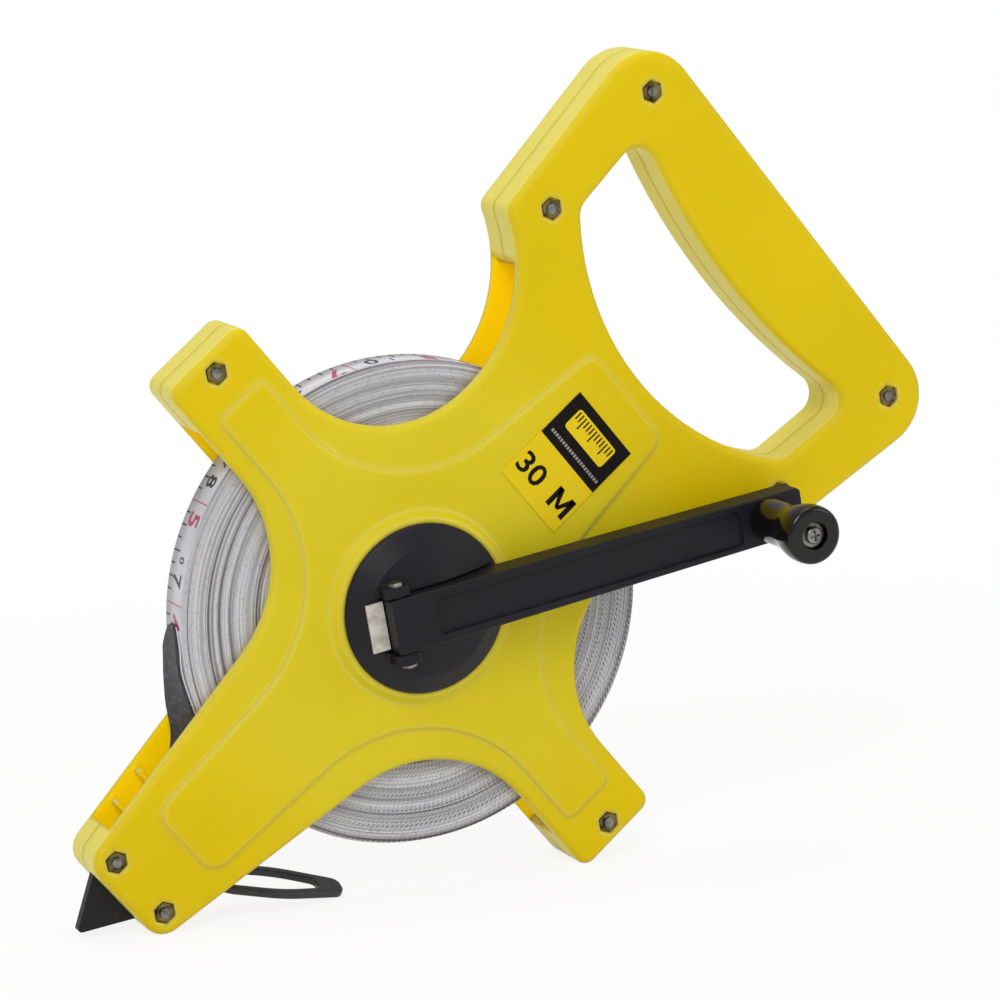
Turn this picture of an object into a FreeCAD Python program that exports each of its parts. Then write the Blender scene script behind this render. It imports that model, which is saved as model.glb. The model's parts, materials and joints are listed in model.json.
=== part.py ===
import FreeCAD, Part
import math
import os

# Open-frame surveyor's tape reel: two moulded frame halves carry a spinning drum of
# fibreglass tape, a fold-over crank with a knob, a ground spike and the tape's end loop.
#
# Building axes, used until the last section: the drum's axis is Y through the origin, the
# crank side faces -Y, +X runs from the drum to the grip and +Z along the upper side arm.
# The finished reel is then turned about Y until it stands on its foot and its lower side
# arm, and is moved so that the middle of its bounding box's bottom is the origin.
# All lengths are millimetres and all angles degrees.

V = FreeCAD.Vector
ORIGIN = V(0, 0, 0)
Y_AXIS = V(0, 1, 0)

# ---------------------------------------------------------------- driving dimensions

# Frame halves
frame_thickness = 21.4       # over both halves' flat faces
plate_thickness = 2.6        # flat wall of each half
side_wall = 2.4              # upright walls of the grip, foot and arm ends
edge_round = 2.2             # outer edge between a flat face and its side
seam_chamfer = 0.35          # shadow line where the halves meet

foot_end = 124.0             # drum axis to the end of the foot arm
foot_half_width = 17.3       # at the foot's end
foot_corner = 7.0
foot_wall_length = 12.0      # the foot arm is closed over this length at its end
foot_root_half_width = 34.4  # the foot arm's sides, carried on to the side arms
foot_blend = 41.0            # concave corner between foot arm and side arm

side_arm_end = 103.6
side_arm_half_width = 14.9
side_arm_corner = 4.0
side_arm_wall_length = 16.6

waist_half_width = 38.4      # frame between the side arms and the grip
waist_blend = 39.0
neck_blend = 45.0
neck_start = 86.5            # where the waist turns out into the grip's neck
neck_tip = (97.9, 70.7)      # shoulder of the grip
neck_corner = 4.0
grip_wall_lead = 6.9         # the grip is closed from this far before its shoulder

grip_back = 168.7            # outer face of the hand grip
grip_half_width = 80.9       # at the grip's outer corners
grip_corner = 16.6
grip_front = 138.0           # inner face of the hand grip, at its middle
grip_front_radius = 209.0
opening_near = 96.8          # hand opening's side towards the drum
opening_near_radius = 84.0
opening_half_width = 53.9    # hand opening's ends, at its middle
opening_end_slope = 6.0      # the ends open out towards the grip
opening_corner = 6.5

# Raised cross on both flat faces
panel_height = 1.0
panel_round = 0.8
panel_foot_margin = 24.5     # from the foot's end
panel_foot_half_width = 13.6
panel_foot_root_half_width = 18.0
panel_foot_blend = 48.0
panel_foot_corner = 6.0
panel_arm_margin = 16.6      # from the side arm's end
panel_arm_half_width = 9.0
panel_arm_corner = 3.0
panel_waist_root_half_width = 26.9
panel_waist_blend = 45.0
panel_grip_end = 90.6
panel_grip_half_width = 18.3
panel_grip_corner = 5.0

# Bearing collar round the hub discs
bearing_radius = 25.8
bearing_clearance = 0.08
collar_height = 3.8          # above the flat face
collar_land = 1.4            # width of the collar's flat top
collar_slope = 2.4           # width of its outer slope

# Frame fasteners: M3 screws from the rear, hexagon nuts in the front
bolt_radius = 1.5
bolt_hole_clearance = 0.15
bolt_boss_radius = 4.4
bolt_head_radius = 2.8
bolt_head_height = 1.8
bolt_head_clearance = 0.5
bolt_tip_length = 0.5        # screw end beyond its nut
nut_flats = 5.5
nut_thickness = 2.4
nut_sink = 0.3               # nut below the flat face
nut_pocket_clearance = 0.45
arm_bolt_inset = 6.0         # from the side arm's end
foot_bolt_inset = 6.8        # from the foot's end
foot_bolt_offset = 11.2      # to either side of the foot's middle
neck_bolt_back = 10.9        # from the grip's shoulder, towards the grip
neck_bolt_inset = 10.2       # from the grip's shoulder, towards the middle
grip_bolt_inset = (12.8, 16.5)  # from the grip's back and from its end

# Stiffening ribs inside the foot arm
rib_insets = (31.0, 20.0)    # from the foot's end
rib_thickness = 1.6
rib_height = 4.2
rib_reach = 9.0

# Ground spike: one steel plate between the halves, held by the two foot screws
spike_thickness = 3.0
spike_length = 14.4          # beyond the foot's end
spike_half_width = 9.8
spike_tip_round = 1.2
spike_fit = 0.1
tang_depth = 9.6             # behind the foot's end wall
tang_half_width = 14.0

# Tape, drum and hub
tape_width = 13.0
coil_radius = 74.0
drum_radius = 25.0
drum_wall = 2.4
drum_web = 2.0
drum_tube_radius = 6.0
coil_gap = 0.3               # tape clear of the drum's barrel
anchor_groove_width = 3.4
anchor_groove_depth = 1.5
anchor_radius = 1.3
anchor_angle = 200.0
hub_flange_radius = 31.0
hub_flange_thickness = 0.7
hub_pocket_radius = 21.5
hub_pocket_roof = 1.5        # pocket roof above the frame's flat face
rear_pocket_roof = 0.6
hub_rim_height = 4.4
hub_crown_radius = 19.5
hub_crown_height = 8.6
hub_top_height = 12.6
rear_cap_height = 3.4
rear_cap_dish = 1.2
rear_cap_dish_radius = 21.0
washer_thickness = 0.6
washer_play = 0.1
washer_inner_clearance = 0.6
hub_screw_circle = 16.0
hub_screw_radius = 1.5
hub_screw_hole_clearance = 0.15
hub_screw_boss_radius = 3.4
hub_screw_head_radius = 2.8
hub_screw_head_height = 1.8
hub_screw_grip = 3.6         # screw length inside the front disc's bosses

# Crank, in its own axes: s along the arm, p across it, h above the front flat face
crank_angle = -30.2          # from the grip's direction, towards the lower side arm
arm_bottom = 7.0
arm_top = 16.0
arm_root = -14.6
arm_end = 123.4
arm_root_half_width = 8.4
arm_end_half_width = 7.2
arm_corner = 1.6
arm_edge_round = 0.7
arm_recess_start = -1.0
arm_recess_end = 102.0
arm_recess_half_width = 5.6
arm_recess_depth = 1.2
arm_recess_corner = 1.5
slot_clearance = 0.4         # arm to the hub slot's sides
slot_floor_gap = 1.4
slot_end = -20.6
hinge_position = -11.4
hinge_height = 13.0
hinge_radius = 1.25
hinge_clearance = 0.06
ear_width = 3.2
ear_half_length = 4.2
ear_cover = 1.9              # ear above the hinge pin's axis
hinge_head_radius = 2.3
hinge_head_height = 1.1
hinge_clip_radius = 2.4
hinge_clip_thickness = 0.7
spring_thickness = 0.8
spring_half_width = 7.4
spring_top = 9.5
spring_gap = 0.35            # leaf to the arm's root
spring_foot_end = -3.0

# Knob
knob_position = 111.6
knob_gap = 0.4
knob_length = 27.6
knob_base_radius = 6.8
knob_neck_radius = 7.2
knob_neck_place = 14.0       # end of the slim grip, from the knob's base
knob_head_radius = 8.6
knob_head_place = 20.0       # start of the wide head
knob_end_radius = 8.9
knob_end_round = 1.6
knob_recess_radius = 4.3
knob_recess_depth = 2.6
spindle_radius = 2.6
spindle_clearance = 0.08
spindle_flange_radius = 4.4
spindle_flange_thickness = 1.2
spindle_tail_radius = 2.0
knob_washer_radius = 3.7
knob_washer_thickness = 0.6
knob_screw_radius = 1.25
knob_screw_length = 9.0
knob_screw_head_radius = 2.6
knob_screw_head_height = 1.7
cross_recess_width = 0.7
cross_recess_depth = 0.9

# Tape end, laid out as the reel stands: the tape's last stretch and its reinforcing lead
# hang from the wound coil into the foot arm, where the lead's eye holds the end loop
tape_thickness = 0.5
run_gap = 0.35               # hanging tape clear of the wound coil
run_top = 1.5                # above the drum axis
lead_thickness = 0.7
lead_width = 12.4
lead_top = 2.5               # rounded tip of the lead, above the drum axis
lead_tip_round = 5.6
loop_inset = 18.9            # loop's pivot from the foot's end, along the foot arm
loop_pivot_radius = 1.3
loop_eye_clearance = 0.06
loop_eye_wall = 1.0
loop_eye_length = 5.0
loop_fold_step = 0.35        # lead's fold narrower than the eye, on each side
loop_slope = 13.5            # loop's fall below level
loop_tilt = 17.0             # rear side raised, about the loop's own length
loop_length = 51.6           # pivot axis to the tip
loop_root_half_width = 5.4   # narrow root, clear of the foot arm's walls as it swings
loop_neck_length = 8.0
loop_flare_end = 14.0
loop_flare_half_width = 7.2
loop_flare_round = 5.0
loop_half_width = 7.8
loop_shoulder = 31.0         # where the sides start to close in
loop_tip_half_width = 3.6
loop_side_round = 50.0
loop_tip_round = 3.2
loop_thickness = 2.4
loop_bar = 2.6
loop_tip_bar = 8.0
rivet_radius = 1.5
rivet_head_height = 0.5
rivet_shank_radius = 0.8
rivet_spacing = 4.6
rivet_rise = 7.0             # rivets above the loop's pivot
lead_end_rise = 4.0          # lower end of the lead's full width above the loop's pivot
run_end_rise = 10.5          # lower end of the bare tape above the loop's pivot

# Label
label_length = 34.4
label_width = 26.8
label_thickness = 0.25
label_corner = 0.6
label_centre = (62.5, -0.7)

# ---------------------------------------------------------------- derived sizes

half_depth = frame_thickness / 2
inner_depth = half_depth - plate_thickness
bolt_hole = bolt_radius + bolt_hole_clearance
disc_radius = bearing_radius - bearing_clearance
panel_depth = half_depth + panel_height
washer_outer_face = inner_depth - washer_play
washer_inner_face = washer_outer_face - washer_thickness
flange_outer_face = washer_inner_face - washer_play
drum_half_length = flange_outer_face - hub_flange_thickness
opening_centre = opening_near + opening_near_radius
grip_front_centre = grip_front + grip_front_radius
foot_wall_start = foot_end - foot_wall_length
side_arm_wall_start = side_arm_end - side_arm_wall_length
grip_wall_start = neck_tip[0] - grip_wall_lead
panel_foot_end = foot_end - panel_foot_margin
panel_arm_end = side_arm_end - panel_arm_margin
arm_bolt = side_arm_end - arm_bolt_inset
foot_bolt = foot_end - foot_bolt_inset
neck_bolt = (neck_tip[0] + neck_bolt_back, neck_tip[1] - neck_bolt_inset)
grip_bolt = (grip_back - grip_bolt_inset[0], grip_half_width - grip_bolt_inset[1])
all_bolts = [
    (0, arm_bolt), (0, -arm_bolt),
    (-foot_bolt, foot_bolt_offset), (-foot_bolt, -foot_bolt_offset),
    neck_bolt, (neck_bolt[0], -neck_bolt[1]),
    grip_bolt, (grip_bolt[0], -grip_bolt[1]),
]

parts = {}

# ---------------------------------------------------------------- shape helpers


def rounded_wire(corners, y=0.0):
    """Closed outline in the plane of that y: (x, z, radius) corners, rounded by tangent arcs."""
    count = len(corners)
    points = [V(x, y, z) for x, z, radius in corners]
    reaches = []
    for i, corner in enumerate(corners):
        before = (points[i - 1] - points[i]).normalize()
        after = (points[(i + 1) % count] - points[i]).normalize()
        half_angle = before.getAngle(after) / 2
        reaches.append((corner[2] / math.tan(half_angle), before, after, half_angle))
    shares = []
    for i in range(count):
        shrink = 1.0
        for j in (i - 1, (i + 1) % count):
            side = (points[j] - points[i]).Length
            used = reaches[i][0] + reaches[j][0]
            if used > side:
                shrink = min(shrink, 0.999 * side / used)
        shares.append(shrink)
    edges = []
    ends = []
    for i in range(count):
        reach, before, after, half_angle = reaches[i]
        reach = reach * shares[i]
        radius = reach * math.tan(half_angle)
        start = points[i] + before * reach
        finish = points[i] + after * reach
        ends.append((start, finish))
        if radius > 0:
            middle = (before + after).normalize()
            nearest = points[i] + middle * (radius / math.sin(half_angle) - radius)
            edges.append((i, Part.Arc(start, nearest, finish).toShape()))
    outline = []
    arcs = dict(edges)
    for i in range(count):
        if i in arcs:
            outline.append(arcs[i])
        start = ends[i][1]
        finish = ends[(i + 1) % count][0]
        if (finish - start).Length > 1e-6:
            outline.append(Part.LineSegment(start, finish).toShape())
    return Part.Wire(outline)


def prism(wire, y_start, y_end):
    """Solid between two depths, from an outline drawn in the plane y = 0."""
    face = Part.Face(wire)
    face.translate(V(0, y_start, 0))
    return face.extrude(V(0, y_end - y_start, 0))


def mirrored_corners(corners):
    """The corners for positive z, followed by their mirror images back to the start."""
    return corners + [(x, -z, radius) for x, z, radius in reversed(corners)]


def rod(radius, y_start, y_end, x=0.0, z=0.0):
    """Cylinder along Y."""
    low = min(y_start, y_end)
    return Part.makeCylinder(radius, abs(y_end - y_start), V(x, low, z), Y_AXIS)


def tube(outer, inner, y_start, y_end, x=0.0, z=0.0):
    return rod(outer, y_start, y_end, x, z).cut(rod(inner, y_start, y_end, x, z))


def block(x_range, y_range, z_range):
    """Box between two corners."""
    low = V(min(x_range), min(y_range), min(z_range))
    high = V(max(x_range), max(y_range), max(z_range))
    size = high - low
    return Part.makeBox(size.x, size.y, size.z, low)


def turned(profile):
    """Solid of revolution about the drum axis, from (radius, y) points."""
    points = [V(radius, y, 0) for radius, y in profile]
    wire = Part.makePolygon(points + points[:1])
    return Part.Face(wire).revolve(ORIGIN, Y_AXIS, 360)


def front(height):
    """Y of a height above the front flat face."""
    return -half_depth - height


def mirror_to_rear(shape):
    return shape.mirror(ORIGIN, Y_AXIS)


def cleaned(shape):
    return shape.removeSplitter()


def polygon_prism(flats, y_start, y_end, x, z, turn=0.0):
    """Hexagonal prism along Y, given by its width across flats."""
    corner = flats / math.sqrt(3)
    angles = [math.radians(60 * i + turn) for i in range(6)]
    points = [V(x + corner * math.cos(a), 0, z + corner * math.sin(a)) for a in angles]
    return prism(Part.makePolygon(points + points[:1]), y_start, y_end)


def edges_at(shape, y, test=None):
    """Edges lying wholly in the plane of that y."""
    found = []
    for edge in shape.Edges:
        box = edge.BoundBox
        if abs(box.YMin - y) < 1e-3 and abs(box.YMax - y) < 1e-3:
            if test is None or test(edge):
                found.append(edge)
    return found


# ---------------------------------------------------------------- frame outline


def frame_corners():
    return mirrored_corners([
        (-foot_end, foot_half_width, foot_corner),
        (-side_arm_half_width, foot_root_half_width, foot_blend),
        (-side_arm_half_width, side_arm_end, side_arm_corner),
        (side_arm_half_width, side_arm_end, side_arm_corner),
        (side_arm_half_width, waist_half_width, waist_blend),
        (neck_start, waist_half_width, neck_blend),
        (neck_tip[0], neck_tip[1], neck_corner),
        (grip_back, grip_half_width, grip_corner),
    ])


def panel_corners():
    return mirrored_corners([
        (-panel_foot_end, panel_foot_half_width, panel_foot_corner),
        (-panel_arm_half_width, panel_foot_root_half_width, panel_foot_blend),
        (-panel_arm_half_width, panel_arm_end, panel_arm_corner),
        (panel_arm_half_width, panel_arm_end, panel_arm_corner),
        (panel_arm_half_width, panel_waist_root_half_width, panel_waist_blend),
        (panel_grip_end, panel_grip_half_width, panel_grip_corner),
    ])


def hand_opening(y_start, y_end, grow):
    """The hand opening's prism, with every side moved outwards by grow."""
    reach = opening_near_radius + grow
    near = rod(reach, y_start, y_end, opening_centre)
    far = rod(grip_front_radius - grow, y_start, y_end, grip_front_centre)
    slope = math.tan(math.radians(opening_end_slope))
    middle = (opening_near + grip_front) / 2
    lift = opening_half_width + grow / math.cos(math.radians(opening_end_slope))
    low_x = opening_near - 2 * side_wall
    high_x = grip_back
    band = [(low_x, lift + slope * (low_x - middle)), (high_x, lift + slope * (high_x - middle))]
    points = [V(x, 0, z) for x, z in band + [(x, -z) for x, z in reversed(band)]]
    wedge = prism(Part.makePolygon(points + points[:1]), y_start, y_end)
    shape = near.common(wedge).cut(far)
    uprights = []
    for edge in shape.Edges:
        box = edge.BoundBox
        if box.XLength < 1e-6 and box.ZLength < 1e-6:
            uprights.append(edge)
    return shape.makeFillet(opening_corner + grow, uprights)


# ---------------------------------------------------------------- frame halves


def half_shell():
    """What the two halves share, drawn as the front one: y runs from the face to the seam."""
    outline = rounded_wire(frame_corners())
    shell = prism(outline, -half_depth, 0)
    shell = shell.cut(hand_opening(-half_depth, 0, 0))
    shell = shell.makeFillet(edge_round, edges_at(shell, -half_depth))
    shell = shell.makeChamfer(seam_chamfer, edges_at(shell, 0))

    inset = Part.Face(outline).makeOffset2D(-side_wall)
    inset.translate(V(0, -inner_depth, 0))
    hollow = inset.extrude(V(0, inner_depth, 0))
    hollow = hollow.cut(hand_opening(-inner_depth, 0, side_wall))
    open_middle = block((-foot_wall_start, grip_wall_start), (-inner_depth, 0),
                        (-side_arm_wall_start, side_arm_wall_start))
    shell = shell.cut(hollow.fuse(open_middle))

    panel = prism(rounded_wire(panel_corners()), -panel_depth, -inner_depth)
    panel = panel.makeFillet(panel_round, edges_at(panel, -panel_depth))
    shell = shell.fuse(panel)

    land = bearing_radius + collar_land
    collar = turned([
        (bearing_radius, -inner_depth),
        (bearing_radius, front(collar_height)),
        (land, front(collar_height)),
        (land + collar_slope, front(panel_height)),
        (land + collar_slope, -inner_depth),
    ])
    shell = shell.fuse(collar)

    for x, z in all_bolts:
        shell = shell.fuse(rod(bolt_boss_radius, -inner_depth, 0, x, z))
    slope = (foot_root_half_width - foot_half_width) / (foot_end - side_arm_half_width)
    for rib_inset in rib_insets:
        place = foot_end - rib_inset
        edge_z = foot_half_width + slope * rib_inset - side_wall
        rib = block((-place - rib_thickness / 2, -place + rib_thickness / 2),
                    (-inner_depth, -inner_depth + rib_height), (edge_z - rib_reach, edge_z))
        shell = shell.fuse(rib)
    shell = shell.cut(rod(bearing_radius, front(collar_height), -inner_depth))
    return cut_for_spike(shell)


def spike_outline(grow):
    """Spike plate's outline: point, neck through the foot's end wall, and tang."""
    tang_end = -foot_end + side_wall + tang_depth
    neck = -foot_end + side_wall
    return mirrored_corners([
        (-foot_end - spike_length - grow, 0.6, spike_tip_round),
        (-foot_end, spike_half_width + grow, 0.4),
        (neck - grow, spike_half_width + grow, 0.0),
        (neck - grow, tang_half_width + grow, 1.0),
        (tang_end + grow, tang_half_width + grow, 1.0),
    ])


def cut_for_spike(shell):
    """Room for half of the spike's thickness in one half of the frame."""
    tang_end = -foot_end + side_wall + tang_depth
    depth = spike_thickness / 2
    neck_room = block((-foot_end - 1, -foot_end + side_wall), (-depth, 0),
                      (-spike_half_width - spike_fit, spike_half_width + spike_fit))
    tang_room = block((-foot_end + side_wall, tang_end + spike_fit), (-depth, 0),
                      (-tang_half_width - spike_fit, tang_half_width + spike_fit))
    return shell.cut(neck_room.fuse(tang_room))


def make_front_half():
    half = half_shell()
    for x, z in all_bolts:
        half = half.cut(rod(bolt_hole, -half_depth, 0, x, z))
        pocket = nut_flats + 2 * nut_pocket_clearance
        floor = -half_depth + nut_sink + nut_thickness
        half = half.cut(polygon_prism(pocket, front(panel_height), floor, x, z))
    parts["front_half"] = cleaned(half)


def make_rear_half():
    half = half_shell()
    for x, z in all_bolts:
        half = half.cut(rod(bolt_hole, -half_depth, 0, x, z))
        counterbore = bolt_head_radius + bolt_head_clearance
        half = half.cut(rod(counterbore, front(panel_height), -half_depth + bolt_head_height, x, z))
    parts["rear_half"] = cleaned(mirror_to_rear(half))


def cross_recess(radius, y_top, depth, toward, x, z):
    """Two crossed slots, cut from a screw head's top; toward is the way into the head."""
    half = cross_recess_width / 2
    reach = radius * 0.6
    y_range = (y_top - toward, y_top + toward * depth)
    one = block((x - reach, x + reach), y_range, (z - half, z + half))
    other = block((x - half, x + half), y_range, (z - reach, z + reach))
    return one.fuse(other)


def make_frame_fasteners():
    bolts = []
    nuts = []
    nut_face = -half_depth + nut_sink
    head_face = half_depth
    head_floor = half_depth - bolt_head_height
    for x, z in all_bolts:
        shank = rod(bolt_radius, nut_face - bolt_tip_length, head_floor, x, z)
        head = rod(bolt_head_radius, head_floor, head_face, x, z)
        head = head.makeFillet(bolt_head_height / 3, edges_at(head, head_face))
        bolt = shank.fuse(head)
        bolt = bolt.cut(cross_recess(bolt_head_radius, head_face, cross_recess_depth, -1, x, z))
        bolts.append(cleaned(bolt))
        nut = polygon_prism(nut_flats, nut_face, nut_face + nut_thickness, x, z)
        crown = rod(nut_flats / math.sqrt(3), nut_face, nut_face + nut_thickness, x, z)
        crown = crown.makeChamfer(0.35, edges_at(crown, nut_face))
        nut = nut.common(crown).cut(rod(bolt_radius + 0.03, nut_face - 1, half_depth, x, z))
        nuts.append(nut)
    parts["frame_bolts"] = Part.makeCompound(bolts)
    parts["frame_nuts"] = Part.makeCompound(nuts)


def make_ground_spike():
    depth = spike_thickness / 2
    plate = prism(rounded_wire(spike_outline(0)), -depth, depth)
    for side in (1, -1):
        plate = plate.cut(rod(bolt_hole, -depth, depth, -foot_bolt, side * foot_bolt_offset))
    parts["ground_spike"] = plate


def make_label():
    x, z = label_centre
    half_length = label_length / 2
    half_width = label_width / 2
    wire = rounded_wire([
        (x - half_length, z - half_width, label_corner),
        (x + half_length, z - half_width, label_corner),
        (x + half_length, z + half_width, label_corner),
        (x - half_length, z + half_width, label_corner),
    ])
    parts["label_plate"] = prism(wire, -panel_depth - label_thickness, -panel_depth)


# ---------------------------------------------------------------- drum and hub


def circle_places(radius, count, start):
    angles = [math.radians(start + 360.0 * i / count) for i in range(count)]
    return [(radius * math.cos(a), radius * math.sin(a)) for a in angles]


hub_screw_places = circle_places(hub_screw_circle, 3, crank_angle + 90)


def make_drum():
    barrel = tube(drum_radius, drum_radius - drum_wall, -drum_half_length, drum_half_length)
    web = rod(drum_radius - drum_wall / 2, -drum_web / 2, drum_web / 2)
    drum = barrel.fuse(web)
    drum = drum.fuse(rod(drum_tube_radius, -drum_half_length, drum_half_length))
    drum = drum.cut(rod(drum_tube_radius - drum_wall, -drum_half_length, drum_half_length))
    for x, z in hub_screw_places:
        drum = drum.fuse(rod(hub_screw_boss_radius, -drum_half_length, drum_half_length, x, z))
    for x, z in hub_screw_places:
        hole = hub_screw_radius + hub_screw_hole_clearance
        drum = drum.cut(rod(hole, -drum_half_length, drum_half_length, x, z))
    groove = block((drum_radius - anchor_groove_depth, drum_radius + 1),
                   (-drum_half_length, drum_half_length),
                   (-anchor_groove_width / 2, anchor_groove_width / 2))
    groove.rotate(ORIGIN, Y_AXIS, -anchor_angle)
    parts["reel_drum"] = cleaned(drum.cut(groove))

    centre = drum_radius - anchor_groove_depth + anchor_radius
    pin = rod(anchor_radius, -tape_width / 2, tape_width / 2, centre)
    pin.rotate(ORIGIN, Y_AXIS, -anchor_angle)
    room = rod(anchor_radius + coil_gap, -tape_width / 2, tape_width / 2, centre)
    room.rotate(ORIGIN, Y_AXIS, -anchor_angle)
    parts["tape_anchor_pin"] = pin
    coil = tube(coil_radius, drum_radius + coil_gap, -tape_width / 2, tape_width / 2)
    parts["tape_coil"] = coil.cut(room)


def make_washers():
    inner = bearing_radius + washer_inner_clearance
    washer = tube(hub_flange_radius, inner, -washer_outer_face, -washer_inner_face)
    parts["thrust_washer_front"] = washer
    parts["thrust_washer_rear"] = mirror_to_rear(washer)


def hub_blank(rim_height, pocket_roof):
    """Flanged journal of a hub disc, drawn on the front side, with its pocket behind."""
    blank = rod(disc_radius, front(rim_height), -flange_outer_face)
    blank = blank.fuse(rod(hub_flange_radius, -flange_outer_face, -drum_half_length))
    blank = blank.cut(rod(hub_pocket_radius, front(pocket_roof), -drum_half_length))
    for x, z in hub_screw_places:
        blank = blank.fuse(rod(hub_screw_boss_radius, front(pocket_roof), -drum_half_length, x, z))
    return blank


def crank_placed(shape):
    """From the crank's own axes (x = s, z = p) to the reel's."""
    shape.rotate(ORIGIN, Y_AXIS, -crank_angle)
    return shape


slot_half_width = arm_root_half_width + slot_clearance
slot_floor = arm_bottom - slot_floor_gap
ear_outer = slot_half_width + ear_width


def make_front_disc():
    disc = hub_blank(hub_rim_height, hub_pocket_roof)
    crown = turned([
        (0, front(hub_pocket_roof)),
        (0, front(hub_top_height)),
        (hub_crown_radius / 2, front(hub_top_height - 1.0)),
        (hub_crown_radius, front(hub_crown_height)),
        (disc_radius - 0.4, front(hub_rim_height + 0.5)),
        (disc_radius, front(hub_rim_height)),
        (disc_radius, front(hub_pocket_roof)),
    ])
    disc = disc.fuse(crown)

    ear_top = hinge_height + ear_cover
    for side in (1, -1):
        ear = block((hinge_position - ear_half_length, hinge_position + ear_half_length),
                    (front(hub_pocket_roof), front(ear_top)),
                    (side * slot_half_width, side * ear_outer))
        ear = ear.makeFillet(ear_cover * 0.9, [
            edge for edge in edges_at(ear, front(ear_top)) if edge.BoundBox.XLength < 1e-6])
        disc = disc.fuse(crank_placed(ear))

    slot = block((hinge_position - ear_half_length, disc_radius + 1),
                 (front(slot_floor), front(hub_top_height + 4)), (-slot_half_width, slot_half_width))
    ledge_height = spring_top - spring_thickness
    window = block((slot_end, hinge_position),
                   (front(ledge_height), front(hub_top_height + 4)),
                   (-slot_half_width, slot_half_width))
    leg_start = arm_root - spring_gap - spring_thickness
    spring_room = block((leg_start - 0.1, spring_foot_end + 0.3),
                        (front(slot_floor - spring_thickness), front(spring_top)),
                        (-spring_half_width - 0.2, spring_half_width + 0.2))
    for cutter in (slot, window, spring_room):
        disc = disc.cut(crank_placed(cutter))
    bore = Part.makeCylinder(hinge_radius + hinge_clearance, 2 * ear_outer + 2,
                             V(hinge_position, front(hinge_height), -ear_outer - 1), V(0, 0, 1))
    disc = disc.cut(crank_placed(bore))
    for x, z in hub_screw_places:
        thread_top = -drum_half_length - hub_screw_grip
        disc = disc.cut(rod(hub_screw_radius + 0.05, thread_top - 0.6, -drum_half_length, x, z))
    parts["hub_disc_front"] = cleaned(disc)


def make_rear_disc():
    disc = hub_blank(rear_cap_height, rear_pocket_roof)
    dish = turned([
        (0, front(rear_cap_height)),
        (0, front(rear_cap_height - rear_cap_dish)),
        (rear_cap_dish_radius - rear_cap_dish, front(rear_cap_height - rear_cap_dish)),
        (rear_cap_dish_radius, front(rear_cap_height)),
    ])
    disc = disc.makeFillet(0.6, [e for e in edges_at(disc, front(rear_cap_height))]).cut(dish)
    face = front(rear_cap_height - rear_cap_dish)
    for x, z in hub_screw_places:
        hole = hub_screw_radius + hub_screw_hole_clearance
        disc = disc.cut(rod(hole, front(rear_cap_height), -drum_half_length, x, z))
        room = hub_screw_head_radius + bolt_head_clearance
        disc = disc.cut(rod(room, face, face + hub_screw_head_height, x, z))
    parts["hub_disc_rear"] = cleaned(mirror_to_rear(disc))


def make_hub_screws():
    screws = []
    head_face = half_depth + rear_cap_height - rear_cap_dish
    head_floor = head_face - hub_screw_head_height
    for x, z in hub_screw_places:
        shank = rod(hub_screw_radius, -drum_half_length - hub_screw_grip, head_floor, x, z)
        head = rod(hub_screw_head_radius, head_floor, head_face, x, z)
        head = head.makeFillet(hub_screw_head_height / 3, edges_at(head, head_face))
        screw = shank.fuse(head)
        recess = cross_recess(hub_screw_head_radius, head_face, cross_recess_depth, -1, x, z)
        screws.append(cleaned(screw.cut(recess)))
    parts["hub_screws"] = Part.makeCompound(screws)


# ---------------------------------------------------------------- crank


def make_crank_arm():
    outline = rounded_wire([
        (arm_root, arm_root_half_width, arm_corner / 2),
        (arm_root, -arm_root_half_width, arm_corner / 2),
        (arm_end, -arm_end_half_width, arm_corner),
        (arm_end, arm_end_half_width, arm_corner),
    ])
    arm = prism(outline, front(arm_top), front(arm_bottom))
    arm = arm.makeFillet(arm_edge_round, edges_at(arm, front(arm_top)))
    recess = rounded_wire([
        (arm_recess_start, arm_recess_half_width, arm_recess_corner),
        (arm_recess_start, -arm_recess_half_width, arm_recess_corner),
        (arm_recess_end, -arm_recess_half_width, arm_recess_corner),
        (arm_recess_end, arm_recess_half_width, arm_recess_corner),
    ])
    arm = arm.cut(prism(recess, front(arm_top), front(arm_top - arm_recess_depth)))
    bore = Part.makeCylinder(hinge_radius + hinge_clearance, 2 * ear_outer,
                             V(hinge_position, front(hinge_height), -ear_outer), V(0, 0, 1))
    arm = arm.cut(bore)
    stem = spindle_tail_radius + 0.05
    arm = arm.cut(rod(stem, front(arm_top), front(arm_bottom), knob_position))
    parts["crank_arm"] = crank_placed(arm)


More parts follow.
